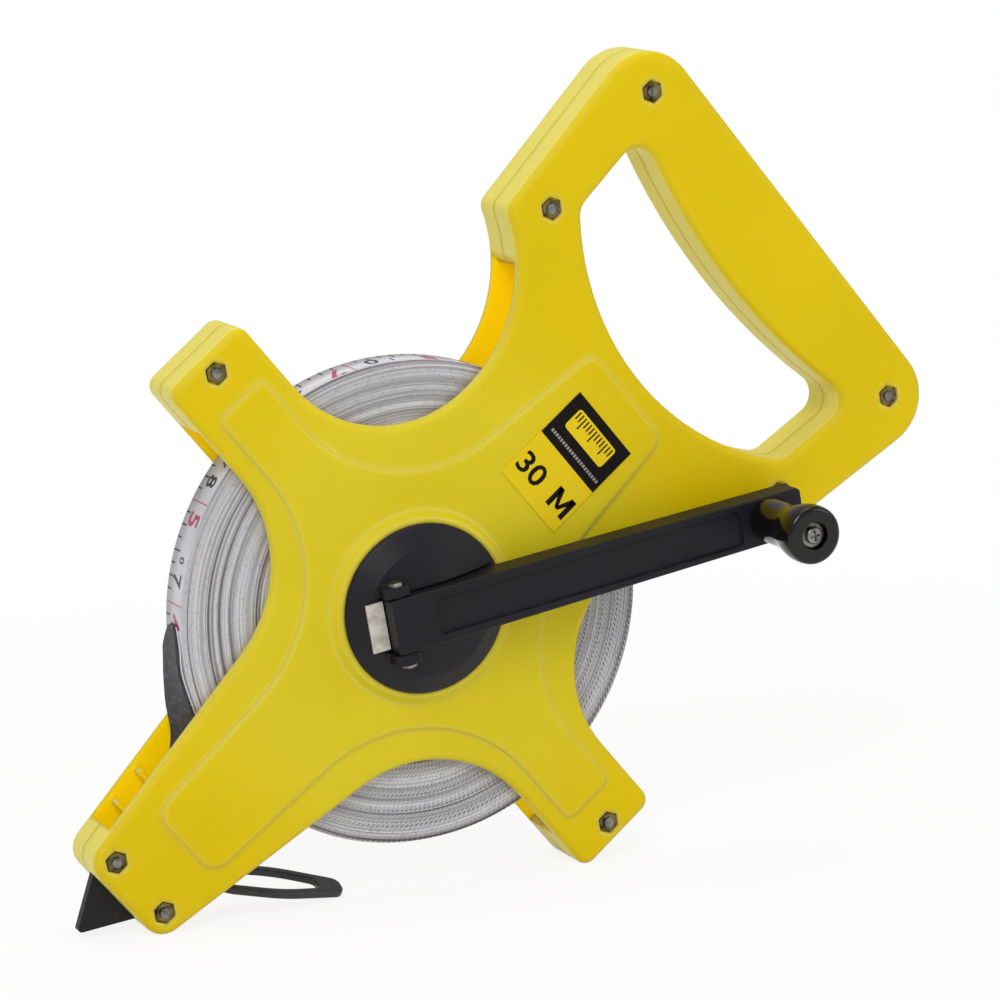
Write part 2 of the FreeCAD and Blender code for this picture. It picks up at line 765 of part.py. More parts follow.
def make_hinge_pin():
    start = -ear_outer - hinge_clip_thickness - 0.6
    end = ear_outer + 0.1
    centre = V(hinge_position, front(hinge_height), 0)
    pin = Part.makeCylinder(hinge_radius, end - start, centre + V(0, 0, start), V(0, 0, 1))
    head = Part.makeCylinder(hinge_head_radius, hinge_head_height, centre + V(0, 0, end), V(0, 0, 1))
    rim = [edge for edge in head.Edges if edge.BoundBox.ZMin > end + hinge_head_height / 2
           and edge.BoundBox.ZLength < 1e-6]
    head = head.makeFillet(hinge_head_height * 0.7, rim)
    parts["crank_hinge_pin"] = crank_placed(cleaned(pin.fuse(head)))

    clip_start = -ear_outer - 0.1 - hinge_clip_thickness
    clip = Part.makeCylinder(hinge_clip_radius, hinge_clip_thickness,
                             centre + V(0, 0, clip_start), V(0, 0, 1))
    bore = Part.makeCylinder(hinge_radius + 0.03, hinge_clip_thickness,
                             centre + V(0, 0, clip_start), V(0, 0, 1))
    mouth = block((hinge_position, hinge_position + 2 * hinge_clip_radius),
                  (front(hinge_height - 0.6), front(hinge_height + 0.6)),
                  (clip_start, clip_start + hinge_clip_thickness))
    parts["hinge_pin_clip"] = crank_placed(clip.cut(bore).cut(mouth))


def make_crank_spring():
    leg = arm_root - spring_gap
    foot_top = slot_floor
    tab = block((slot_end + 0.2, leg), (front(spring_top - spring_thickness), front(spring_top)),
                (-spring_half_width, spring_half_width))
    riser = block((leg - spring_thickness, leg), (front(foot_top - spring_thickness), front(spring_top)),
                  (-spring_half_width, spring_half_width))
    foot = block((leg - spring_thickness, spring_foot_end),
                 (front(foot_top - spring_thickness), front(foot_top)),
                 (-spring_half_width, spring_half_width))
    parts["crank_latch_spring"] = crank_placed(cleaned(tab.fuse(riser).fuse(foot)))


def make_knob():
    base = arm_top + knob_gap
    top = base + knob_length
    bore = spindle_radius + spindle_clearance
    floor = top - knob_recess_depth
    flange_room = base + spindle_flange_thickness + 0.2
    nook = knob_end_round * (1 - math.sqrt(0.5))
    side = Part.BSplineCurve()
    side.interpolate([
        V(knob_base_radius, front(base), 0),
        V((knob_base_radius + knob_neck_radius) / 2 - 0.1, front(base + knob_neck_place * 0.6), 0),
        V(knob_neck_radius, front(base + knob_neck_place), 0),
        V(knob_head_radius, front(base + knob_head_place), 0),
        V(knob_end_radius, front(top - knob_end_round), 0),
    ])
    end_arc = Part.Arc(V(knob_end_radius, front(top - knob_end_round), 0),
                       V(knob_end_radius - nook, front(top - nook), 0),
                       V(knob_end_radius - knob_end_round, front(top), 0))
    inside = [
        (knob_end_radius - knob_end_round, front(top)),
        (knob_recess_radius, front(top)),
        (knob_recess_radius, front(floor)),
        (bore, front(floor)),
        (bore, front(flange_room)),
        (spindle_flange_radius + 0.3, front(flange_room)),
        (spindle_flange_radius + 0.3, front(base)),
        (knob_base_radius, front(base)),
    ]
    section = Part.makePolygon([V(radius, y, 0) for radius, y in inside])
    wire = Part.Wire([side.toShape(), end_arc.toShape()] + section.Edges)
    knob = Part.Face(wire).revolve(ORIGIN, Y_AXIS, 360)
    knob.translate(V(knob_position, 0, 0))
    parts["knob"] = crank_placed(knob)

    end = floor + 0.25
    spindle = rod(spindle_radius, front(arm_top), front(end), knob_position)
    flange_end = arm_top + spindle_flange_thickness
    spindle = spindle.fuse(rod(spindle_flange_radius, front(arm_top), front(flange_end), knob_position))
    spindle = spindle.fuse(rod(spindle_tail_radius, front(arm_bottom), front(arm_top), knob_position))
    hole_end = end - knob_screw_length - 0.5
    spindle = spindle.cut(rod(knob_screw_radius + 0.05, front(end), front(hole_end), knob_position))
    parts["knob_spindle"] = crank_placed(cleaned(spindle))

    washer_top = end + knob_washer_thickness
    washer = tube(knob_washer_radius, knob_screw_radius + 0.15, front(end), front(washer_top),
                  knob_position)
    parts["knob_washer"] = crank_placed(washer)
    head_top = washer_top + knob_screw_head_height
    shank = rod(knob_screw_radius, front(end - knob_screw_length), front(washer_top), knob_position)
    head = rod(knob_screw_head_radius, front(washer_top), front(head_top), knob_position)
    head = head.makeFillet(knob_screw_head_height / 2, edges_at(head, front(head_top)))
    screw = shank.fuse(head).cut(
        cross_recess(knob_screw_head_radius, front(head_top), cross_recess_depth, 1, knob_position, 0))
    parts["knob_screw"] = crank_placed(cleaned(screw))


# ---------------------------------------------------------------- tape end, as the reel stands


def corner_centre(corners, index):
    """Centre and radius of one rounded corner of an outline."""
    x, z, radius = corners[index]
    here = V(x, 0, z)
    before = corners[index - 1]
    after = corners[(index + 1) % len(corners)]
    one = (V(before[0], 0, before[1]) - here).normalize()
    two = (V(after[0], 0, after[1]) - here).normalize()
    middle = (one + two).normalize()
    return here + middle * (radius / math.sin(one.getAngle(two) / 2)), radius


def standing():
    """Turn that sets the foot's lower corner and the lower side arm level, and axis height."""
    corners = frame_corners()
    foot, foot_round = corner_centre(corners, len(corners) - 1)
    arm, arm_round = corner_centre(corners, len(corners) - 3)
    span = foot - arm
    reach = math.hypot(span.x, span.z)
    turn = math.atan2(span.z, -span.x) - math.asin((foot_round - arm_round) / reach)
    height = foot_round - (foot.x * math.sin(turn) + foot.z * math.cos(turn))
    return math.degrees(turn), height


stand_angle, hub_height = standing()
run_inner_face = -coil_radius - run_gap
run_outer_face = run_inner_face - tape_thickness
lead_outer_face = run_outer_face - lead_thickness
hanging = (run_inner_face + lead_outer_face) / 2
turn = math.radians(stand_angle)
pivot_fall = (foot_end - loop_inset + hanging * math.cos(turn)) / math.sin(turn)
pivot = V(hanging, 0, -pivot_fall)


def loop_placed(shape):
    """From the loop's own axes (x along, y across, z through) to the standing reel's."""
    shape.rotate(ORIGIN, V(1, 0, 0), loop_tilt)
    shape.rotate(ORIGIN, Y_AXIS, loop_slope)
    shape.translate(pivot)
    return shape


def loop_outline(tip, root, inset):
    """Blunt-ended loop outline from its tip back to its root, every side moved in by inset."""
    return mirrored_corners([
        (tip, loop_tip_half_width - inset / 2, loop_tip_round - inset / 2),
        (loop_shoulder, loop_half_width - inset, loop_side_round),
        (loop_flare_end, loop_flare_half_width - inset, loop_flare_round),
        (loop_neck_length, loop_root_half_width - inset, loop_flare_round),
        (root, loop_root_half_width - inset, 0.6),
    ])


def make_end_loop():
    half_bar = loop_bar / 2
    half = loop_thickness / 2
    body = prism(rounded_wire(loop_outline(loop_length, -half_bar, 0)), -half, half)
    opening = loop_outline(loop_length - loop_tip_bar, half_bar, loop_bar)
    body = body.cut(prism(rounded_wire(opening), -half, half))
    body = body.cut(block((-half_bar - 1, 2 * loop_bar), (-half, half),
                          (-loop_root_half_width + loop_bar, loop_root_half_width - loop_bar)))
    rims = []
    for y in (-half, half):
        rims += edges_at(body, y, lambda edge: edge.BoundBox.XMax > 2 * loop_bar)
    body = body.makeFillet(half * 0.5, rims)
    body.rotate(ORIGIN, V(1, 0, 0), -90)
    bar_half = loop_root_half_width - half_bar
    bar = rod(loop_pivot_radius, -bar_half, bar_half)
    parts["end_loop"] = loop_placed(cleaned(body.fuse(bar)))


def make_tape_end():
    eye_inner = loop_pivot_radius + loop_eye_clearance
    eye_outer = eye_inner + loop_eye_wall
    half_eye = loop_eye_length / 2
    half_lead = lead_width / 2
    run = block((run_outer_face, run_inner_face), (-tape_width / 2, tape_width / 2),
                (pivot.z + run_end_rise, run_top))
    lead = block((lead_outer_face, run_outer_face), (-half_lead, half_lead),
                 (pivot.z + lead_end_rise, lead_top))
    tip = []
    for edge in lead.Edges:
        box = edge.BoundBox
        if box.ZMin > lead_top - 1e-3 and box.YLength < 1e-6:
            tip.append(edge)
    lead = lead.makeFillet(lead_tip_round, tip)
    fold_half = half_eye - loop_fold_step
    fold = block((lead_outer_face, run_inner_face), (-fold_half, fold_half),
                 (pivot.z, pivot.z + run_end_rise))
    eye = loop_placed(rod(eye_outer, -half_eye, half_eye))
    bore = loop_placed(rod(eye_inner, -2 * loop_half_width, 2 * loop_half_width))
    lead = lead.fuse(fold).fuse(eye).cut(bore)

    rivets = []
    for side in (-0.5, 0.5):
        y = side * rivet_spacing
        z = pivot.z + rivet_rise
        start = V(lead_outer_face, y, z)
        across = V(run_inner_face - lead_outer_face, 0, 0)
        lead = lead.cut(Part.makeCylinder(rivet_shank_radius, across.x, start, V(1, 0, 0)))
        shank = Part.makeCylinder(rivet_shank_radius, across.x, start, V(1, 0, 0))
        outer = Part.makeCylinder(rivet_radius, rivet_head_height,
                                  start - V(rivet_head_height, 0, 0), V(1, 0, 0))
        inner = Part.makeCylinder(rivet_radius, rivet_head_height, start + across, V(1, 0, 0))
        rivets.append(cleaned(shank.fuse(outer).fuse(inner)))
    parts["tape_run"] = run
    parts["tape_lead"] = cleaned(lead)
    parts["lead_rivets"] = Part.makeCompound(rivets)


# ---------------------------------------------------------------- build and stand up

make_front_half()
make_rear_half()
make_frame_fasteners()
make_ground_spike()
make_label()
make_drum()
make_washers()
make_front_disc()
make_rear_disc()
make_hub_screws()
make_crank_arm()
make_hinge_pin()
make_crank_spring()
make_knob()


for shape in parts.values():
    shape.rotate(ORIGIN, Y_AXIS, -stand_angle)

make_end_loop()
make_tape_end()

whole = Part.makeCompound(list(parts.values())).optimalBoundingBox(False)
shift = V(-(whole.XMin + whole.XMax) / 2, -(whole.YMin + whole.YMax) / 2, hub_height)

os.makedirs("parts", exist_ok=True)
for name, shape in parts.items():
    shape.translate(shift)
    shape.exportStep("parts/" + name + ".step")
    box = shape.optimalBoundingBox(False)
    print("%-22s solids %d  volume %9.1f  x %7.2f %7.2f  y %7.2f %7.2f  z %7.2f %7.2f  %s" % (
        name, len(shape.Solids), shape.Volume, box.XMin, box.XMax, box.YMin, box.YMax,
        box.ZMin, box.ZMax, "valid" if shape.isValid() else "INVALID"))
print("standing angle %.3f, drum axis at x %.3f y %.3f z %.3f" % (
    stand_angle, shift.x, shift.y, shift.z))
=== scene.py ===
import json
import math
import random

import bpy
from mathutils import Matrix, Vector
from mathutils import noise as field


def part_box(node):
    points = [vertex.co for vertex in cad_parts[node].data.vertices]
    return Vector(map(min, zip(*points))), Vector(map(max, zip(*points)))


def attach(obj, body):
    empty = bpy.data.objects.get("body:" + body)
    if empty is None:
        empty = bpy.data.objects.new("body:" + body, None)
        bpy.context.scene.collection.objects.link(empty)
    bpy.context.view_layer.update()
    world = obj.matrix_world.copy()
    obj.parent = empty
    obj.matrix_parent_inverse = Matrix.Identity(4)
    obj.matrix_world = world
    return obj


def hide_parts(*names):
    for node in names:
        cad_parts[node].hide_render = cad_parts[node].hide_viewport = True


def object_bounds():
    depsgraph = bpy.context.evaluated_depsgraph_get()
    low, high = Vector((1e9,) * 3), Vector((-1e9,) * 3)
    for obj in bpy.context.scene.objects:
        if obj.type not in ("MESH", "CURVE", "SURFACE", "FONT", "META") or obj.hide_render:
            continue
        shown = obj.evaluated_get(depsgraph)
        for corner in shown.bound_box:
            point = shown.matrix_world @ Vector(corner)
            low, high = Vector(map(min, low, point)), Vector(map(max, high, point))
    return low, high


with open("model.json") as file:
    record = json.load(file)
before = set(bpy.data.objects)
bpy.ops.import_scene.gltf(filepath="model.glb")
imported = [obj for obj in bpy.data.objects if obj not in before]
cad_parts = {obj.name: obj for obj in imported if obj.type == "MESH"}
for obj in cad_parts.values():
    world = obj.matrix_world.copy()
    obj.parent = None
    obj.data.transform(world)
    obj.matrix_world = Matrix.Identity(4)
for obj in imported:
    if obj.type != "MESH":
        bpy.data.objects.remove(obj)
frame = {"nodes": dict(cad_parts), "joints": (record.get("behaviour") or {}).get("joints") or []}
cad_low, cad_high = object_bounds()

MM = 0.001
joints = {joint["name"]: joint for joint in frame["joints"]}
drum_axis = Vector(joints["reel_spin"]["pos_m"])

# ---------------------------------------------------------------- places read from the frame

coil_low, coil_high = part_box("tape_coil")
coil_radius = (coil_high.x - coil_low.x) / 2
coil_inner_radius = (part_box("reel_drum")[1].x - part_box("reel_drum")[0].x) / 2
coil_middle_y = (coil_low.y + coil_high.y) / 2
coil_half_width = (coil_high.y - coil_low.y) / 2
run_low, run_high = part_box("tape_run")
lead_low, lead_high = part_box("tape_lead")
spike_low, spike_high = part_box("ground_spike")
foot_way = (spike_low + spike_high) / 2 - drum_axis
foot_angle = math.atan2(foot_way.z, foot_way.x)

# ---------------------------------------------------------------- materials


def srgb(red, green, blue):
    """Linear colour of an 8 bit screen colour."""
    out = []
    for value in (red, green, blue):
        value /= 255
        out.append(value / 12.92 if value <= 0.04045 else ((value + 0.055) / 1.055) ** 2.4)
    return (*out, 1.0)


def feed(tree, socket, value):
    """Gives an input its value: a number, a colour or another node's output socket."""
    if isinstance(value, bpy.types.NodeSocket):
        tree.links.new(value, socket)
    else:
        socket.default_value = value


def add(tree, kind, inputs=None, **settings):
    """A new shader node with those inputs and settings."""
    made = tree.nodes.new("ShaderNode" + kind)
    for name, value in settings.items():
        setattr(made, name, value)
    for name, value in (inputs or {}).items():
        feed(tree, made.inputs[name], value)
    return made


def new_material(name):
    material = bpy.data.materials.new(name)
    material.use_nodes = True
    tree = material.node_tree
    return material, tree, tree.nodes["Principled BSDF"]


def place(tree, scale=(1, 1, 1)):
    """Position in the part's own axes, in metres, scaled along each axis."""
    where = add(tree, "TexCoord").outputs["Object"]
    return add(tree, "Mapping", {"Vector": where, "Scale": scale}).outputs["Vector"]


def noise(tree, scale, detail=2.0, vector=None, roughness=0.5):
    return add(tree, "TexNoise", {"Vector": vector or place(tree), "Scale": scale, "Detail": detail,
                                  "Roughness": roughness}).outputs["Fac"]


def between(tree, fac, low, high, to_low=0.0, to_high=1.0):
    """fac carried from the range low..high to the range to_low..to_high, and held there."""
    return add(tree, "MapRange", {"Value": fac, "From Min": low, "From Max": high,
                                  "To Min": to_low, "To Max": to_high}).outputs["Result"]


def mixed(tree, fac, first, second):
    mix = add(tree, "Mix", data_type="RGBA")
    for socket, value in zip((mix.inputs[0], mix.inputs[6], mix.inputs[7]), (fac, first, second)):
        feed(tree, socket, value)
    return mix.outputs[2]


def math_node(tree, operation, first, second=0.0):
    made = add(tree, "Math", operation=operation)
    for socket, value in zip(made.inputs, (first, second)):
        feed(tree, socket, value)
    return made.outputs[0]


def product(tree, *factors):
    result = factors[0]
    for factor in factors[1:]:
        result = math_node(tree, "MULTIPLY", result, factor)
    return result


def edge_mask(tree, radius):
    """1 on sharp outside and inside edges, 0 on flat surfaces."""
    rounded = add(tree, "Bevel", {"Radius": radius}, samples=4).outputs["Normal"]
    flat = add(tree, "NewGeometry").outputs["Normal"]
    dot = add(tree, "VectorMath", operation="DOT_PRODUCT")
    tree.links.new(rounded, dot.inputs[0])
    tree.links.new(flat, dot.inputs[1])
    return between(tree, dot.outputs["Value"], 0.995, 0.80)


def bump(tree, height, strength, distance, normal=None):
    inputs = {"Height": height, "Strength": strength, "Distance": distance}
    if normal is not None:
        inputs["Normal"] = normal
    return add(tree, "Bump", inputs).outputs["Normal"]


def soft_edges(tree, radius):
    """Normals as if every edge were rounded by that radius."""
    return add(tree, "Bevel", {"Radius": radius}, samples=4).outputs["Normal"]


PLASTIC_EDGE = 0.35 * MM     # edges look rounded by this much
FRAME_EDGE = 2.6 * MM
METAL_EDGE = 0.2 * MM
PAINTED_SHEEN_RADII = (58 * MM, 92 * MM)      # painted sheen: the frame's colour deepens from a paler, greyer yellow between these radii of the drum
INNER_FACE = (8.6 * MM, 8.9 * MM)      # the halves' inner faces, which get a painted glow, lie this far from the drum's middle


def plastic(name, colour, shade, rough, grain, worn=None, scratches=0.5, gloss=0.5):
    """Moulded plastic: uneven colour, satin grain, fine scratches and edges rubbed to worn."""
    material, tree, shader = new_material(name)
    cloudy = between(tree, noise(tree, 22, 3), 0.35, 0.65)
    base = mixed(tree, cloudy, colour, shade)
    streaks = noise(tree, 1, 4, place(tree, (2600, 90, 900)), 0.7)
    rubbed = between(tree, streaks, 0.62, 0.8)
    if worn is not None:
        patchy = between(tree, noise(tree, 140, 4), 0.45, 0.7)
        edges = math_node(tree, "MULTIPLY", edge_mask(tree, PLASTIC_EDGE), patchy)
        base = mixed(tree, edges, base, worn)
    tree.links.new(base, shader.inputs["Base Color"])
    smudges = between(tree, noise(tree, 45, 4), 0.3, 0.7, rough - 0.06, rough + 0.07)
    total = math_node(tree, "ADD", smudges, math_node(tree, "MULTIPLY", rubbed, 0.12 * scratches))
    tree.links.new(total, shader.inputs["Roughness"])
    fine = noise(tree, 2400, 2)
    normal = bump(tree, fine, grain, 0.05 * MM, soft_edges(tree, PLASTIC_EDGE))
    normal = bump(tree, streaks, 0.06 * scratches, 0.04 * MM, normal)
    tree.links.new(normal, shader.inputs["Normal"])
    shader.inputs["Specular IOR Level"].default_value = gloss
    return material


def frame_plastic():
    """The frame's yellow plastic: painted sheen near the drum, deeper away from it, painted highlights on
    side walls and edges, and a painted glow where light comes through its walls.
    """
    material, tree, shader = new_material("yellow_plastic")
    radius, _, depth = drum_polar(tree)
    # painted sheen and light: a paler, greyer yellow near the drum, and a deeper, brighter yellow further out
    outward = between(tree, radius, *PAINTED_SHEEN_RADII)
    cloudy = between(tree, noise(tree, 18, 3), 0.35, 0.65)
    near_painted_sheen = mixed(tree, cloudy, srgb(216, 197, 34), srgb(211, 191, 26))
    far = mixed(tree, cloudy, srgb(221, 192, 0), srgb(215, 187, 0))
    base = mixed(tree, outward, near_painted_sheen, far)
    # painted highlight: side walls and edges get a paler yellow, as light catches them
    side = add(tree, "SeparateXYZ", {"Vector": add(tree, "NewGeometry").outputs["Normal"]})
    facing = math_node(tree, "ABSOLUTE", side.outputs["Y"])
    side_wall_highlight = between(tree, facing, 0.25, 0.55, 1.0, 0.0)
    edges = between(tree, edge_mask(tree, FRAME_EDGE), 0.05, 0.7, 0.0, 0.6)
    painted_highlight = math_node(tree, "MAXIMUM", math_node(tree, "MULTIPLY", side_wall_highlight, 0.72), edges)
    base = mixed(tree, painted_highlight, base, srgb(232, 224, 118))
    # painted glow: the inner faces get a deeper yellow and a faint emission, standing in for light coming
    # through the walls
    within = between(tree, math_node(tree, "ABSOLUTE", depth), *INNER_FACE, 1.0, 0.0)
    inside = math_node(tree, "MULTIPLY", within, between(tree, facing, 0.8, 0.95))
    base = mixed(tree, inside, base, srgb(234, 200, 6))
    tree.links.new(base, shader.inputs["Base Color"])
    shader.inputs["Emission Color"].default_value = srgb(218, 186, 4)
    tree.links.new(math_node(tree, "MULTIPLY", inside, 0.34), shader.inputs["Emission Strength"])
    tree.links.new(between(tree, noise(tree, 45, 4), 0.3, 0.7, 0.34, 0.46), shader.inputs["Roughness"])
    shader.inputs["Specular IOR Level"].default_value = 0.13
    shader.inputs["Subsurface Weight"].default_value = 0.08
    shader.inputs["Subsurface Radius"].default_value = (1.0, 0.7, 0.15)
    shader.inputs["Subsurface Scale"].default_value = 1.5 * MM
    streaks = noise(tree, 1, 4, place(tree, (1900, 70, 700)), 0.7)
    normal = bump(tree, noise(tree, 2400, 2), 0.10, 0.05 * MM, soft_edges(tree, FRAME_EDGE))
    normal = bump(tree, noise(tree, 9, 2), 0.12, 1.2 * MM, normal)
    normal = bump(tree, streaks, 0.03, 0.04 * MM, normal)
    tree.links.new(normal, shader.inputs["Normal"])
    return material


def metal(name, colour, dark, rough, metallic=1.0, brushed=(60, 60, 60)):
    """Plated or coated metal: fine brushing, patches of grime and slightly rounded edges."""
    material, tree, shader = new_material(name)
    brushing = noise(tree, 1, 5, place(tree, tuple(30 * value for value in brushed)), 0.7)
    grime = between(tree, noise(tree, 320, 4), 0.42, 0.68)
    base = mixed(tree, grime, colour, dark)
    tree.links.new(base, shader.inputs["Base Color"])
    shader.inputs["Metallic"].default_value = metallic
    rough_map = between(tree, brushing, 0.3, 0.7, rough - 0.08, rough + 0.12)
    tree.links.new(rough_map, shader.inputs["Roughness"])
    normal = bump(tree, brushing, 0.15, 0.02 * MM, soft_edges(tree, METAL_EDGE))
    tree.links.new(normal, shader.inputs["Normal"])
    return material


def drum_polar(tree):
    """Distance from the drum's axis, angle round it from the side opposite the foot arm, and depth."""
    where = add(tree, "TexCoord").outputs["Object"]
    shifted = add(tree, "VectorMath", {0: where, 1: drum_axis}, operation="SUBTRACT").outputs["Vector"]
    parts = add(tree, "SeparateXYZ", {"Vector": shifted})
    across, along = parts.outputs["X"], parts.outputs["Z"]
    squares = math_node(tree, "ADD", product(tree, across, across), product(tree, along, along))
    radius = math_node(tree, "SQRT", squares)
    turned = add(tree, "VectorRotate", {"Vector": shifted, "Axis": (0, 1, 0), "Angle": foot_angle + math.pi},
                 rotation_type="AXIS_ANGLE")
    level = add(tree, "SeparateXYZ", {"Vector": turned.outputs["Vector"]})
    angle = add(tree, "Math", {0: level.outputs["Z"], 1: level.outputs["X"]}, operation="ARCTAN2").outputs[0]
    return radius, angle, parts.outputs["Y"]


TURN = 0.5 * MM              # thickness of one turn of the tape
GAP_SHADE_AND_WEAVE_GREY = srgb(46, 45, 49)


def turn_shades(tree, ring, ring_at, top_shade, lower, radius):
    """Grey and white bands of the turns, painted shade in the gaps between some, darker bands as painted
    shade towards the top, and a painted shade along the coil's top edge.
    """
    broad = noise(tree, 0.12, 2, ring_at)
    base = mixed(tree, between(tree, ring, 0.36, 0.62), srgb(130, 128, 132), srgb(214, 212, 217))
    base = mixed(tree, between(tree, broad, 0.48, 0.62, 0.0, 0.75), base, srgb(222, 221, 226))
    # painted shade in the gaps between some turns
    gap_shade = between(tree, noise(tree, 0.60, 1, ring_at), 0.60, 0.68, 0.0, 0.85)
    base = mixed(tree, gap_shade, base, GAP_SHADE_AND_WEAVE_GREY)
    # painted shade: these darker bands grow stronger towards the coil's top and fade out at its lower right
    bands = between(tree, noise(tree, 0.24, 2, ring_at), 0.50, 0.62)
    strength = between(tree, top_shade, 0, 1, 0.30, 0.62)
    bands = product(tree, bands, strength, math_node(tree, "SUBTRACT", 1.0, lower))
    base = mixed(tree, bands, base, srgb(112, 110, 115))
    # painted shade along the top of the coil's outer edge
    top_edge_shade = between(tree, radius, coil_radius - 1.3 * MM, coil_radius - 0.5 * MM, 0.0, 0.7)
    return mixed(tree, product(tree, top_edge_shade, top_shade), base, srgb(84, 82, 86))


def weave_dashes(tree, turns, angle, ring):
    """Slanted dashes in lanes of a few turns each, where the cut weave shows."""
    lane = math_node(tree, "MULTIPLY", turns, 0.42)
    off_middle = math_node(tree, "ABSOLUTE", math_node(tree, "SUBTRACT", math_node(tree, "FRACT", lane), 0.5))
    lane_number = math_node(tree, "FLOOR", lane)
    seed = add(tree, "TexWhiteNoise", {"W": lane_number}, noise_dimensions="1D").outputs["Value"]
    slant = math_node(tree, "MULTIPLY", turns, 2.6)
    phase = math_node(tree, "ADD", math_node(tree, "MULTIPLY", seed, 40.0), slant)
    beat = math_node(tree, "SINE", math_node(tree, "ADD", math_node(tree, "MULTIPLY", angle, 270.0), phase))
    dashes = between(tree, math_node(tree, "ADD", beat, math_node(tree, "MULTIPLY", ring, 0.8)), 0.35, 0.9)
    in_lane = between(tree, off_middle, 0.20, 0.36, 1.0, 0.0)
    return product(tree, dashes, in_lane, between(tree, seed, 0.15, 0.8, 0.2, 0.85))


def tape_edge_material():
    """The side of the wound tape: bands of turns with painted shade towards the top, the weave at the lower
    right, specks of print and fuzz.
    """
    material, tree, shader = new_material("tape_edges")
    radius, angle, _ = drum_polar(tree)
    wander = math_node(tree, "MULTIPLY", noise(tree, 14, 2), 5.0)
    turns = math_node(tree, "ADD", math_node(tree, "DIVIDE", radius, TURN), wander)
    drift = math_node(tree, "MULTIPLY", angle, 0.35)
    ring_at = add(tree, "CombineXYZ", {"X": turns, "Y": drift}).outputs["Vector"]
    ring = noise(tree, 0.62, 4, ring_at, 0.7)
    level = math_node(tree, "ADD", angle, foot_angle + math.pi)
    lower = between(tree, math_node(tree, "COSINE", math_node(tree, "ADD", level, 0.95)), 0.30, 0.72)
    # how far towards the coil's top, for the painted shade there
    top_shade = between(tree, math_node(tree, "SINE", level), 0.35, 0.85)
    base = turn_shades(tree, ring, ring_at, top_shade, lower, radius)
    base = mixed(tree, product(tree, weave_dashes(tree, turns, angle, ring), lower), base, GAP_SHADE_AND_WEAVE_GREY)
    rows = add(tree, "CombineXYZ", {"X": math_node(tree, "MULTIPLY", turns, 0.8),
                                    "Y": math_node(tree, "MULTIPLY", angle, 26.0)}).outputs["Vector"]
    specks = between(tree, noise(tree, 1.7, 2, rows, 0.6), 0.70, 0.76)
    patches = between(tree, noise(tree, 30, 2), 0.40, 0.60)
    base = mixed(tree, product(tree, specks, patches), base, srgb(40, 39, 43))
    fuzz = noise(tree, 900, 2)
    base = mixed(tree, between(tree, fuzz, 0.56, 0.72, 0.0, 0.35), base, srgb(120, 119, 123))
    tree.links.new(base, shader.inputs["Base Color"])
    shader.inputs["Roughness"].default_value = 0.6
    normal = bump(tree, ring, 0.5, 0.14 * MM)
    normal = bump(tree, fuzz, 0.3, 0.05 * MM, normal)
    tree.links.new(normal, shader.inputs["Normal"])
    return material


def tape_face_material():
    """The printed side of the tape: coated white glass fibre, slightly soiled."""
    material, tree, shader = new_material("tape_face")
    soiled = between(tree, noise(tree, 60, 4), 0.35, 0.7)
    base = mixed(tree, soiled, srgb(212, 211, 218), srgb(192, 190, 197))
    tree.links.new(base, shader.inputs["Base Color"])
    shader.inputs["Roughness"].default_value = 0.38
    fibres = add(tree, "TexWave", {"Vector": place(tree), "Scale": 520, "Distortion": 1.2},
                 bands_direction="Y").outputs["Fac"]
    tree.links.new(bump(tree, fibres, 0.18, 0.05 * MM), shader.inputs["Normal"])
    return material


def ink(name, colour):
    """Printed ink, thin in places."""
    material, tree, shader = new_material(name)
    faded = between(tree, noise(tree, 700, 3), 0.5, 0.8, 0.0, 0.5)
    tree.links.new(mixed(tree, faded, colour, srgb(150, 140, 142)), shader.inputs["Base Color"])
    shader.inputs["Roughness"].default_value = 0.45
    return material


def webbing_material():
    """Black coated lead: fine weave under the coating, dusty and scuffed."""
    material, tree, shader = new_material("lead_webbing")
    scuffs = between(tree, noise(tree, 420, 5, None, 0.7), 0.5, 0.72)
    base = mixed(tree, scuffs, srgb(40, 40, 46), srgb(84, 83, 89))
    tree.links.new(base, shader.inputs["Base Color"])
    shader.inputs["Roughness"].default_value = 0.55
    weave = add(tree, "TexWave", {"Vector": place(tree), "Scale": 300, "Distortion": 0.6},
                bands_direction="Z").outputs["Fac"]
    normal = bump(tree, weave, 0.3, 0.08 * MM)
    normal = bump(tree, scuffs, 0.25, 0.05 * MM, normal)
    tree.links.new(normal, shader.inputs["Normal"])
    return material


yellow = frame_plastic()
black = plastic("black_plastic", srgb(27, 26, 33), srgb(21, 21, 27), 0.44, 0.24, srgb(64, 63, 68),
                gloss=0.22)
gloss_black = plastic("gloss_black_plastic", srgb(15, 15, 17), srgb(10, 10, 12), 0.16, 0.05,
                      srgb(50, 50, 52), scratches=0.3, gloss=0.35)
loop_black = metal("loop_enamel", srgb(30, 29, 32), srgb(20, 20, 22), 0.28, 0.0)
spike_black = metal("spike_coating", srgb(13, 12, 13), srgb(8, 8, 8), 0.46, 0.35, (60, 10, 60))
zinc = metal("zinc_plating", srgb(146, 144, 139), srgb(76, 72, 66), 0.34)
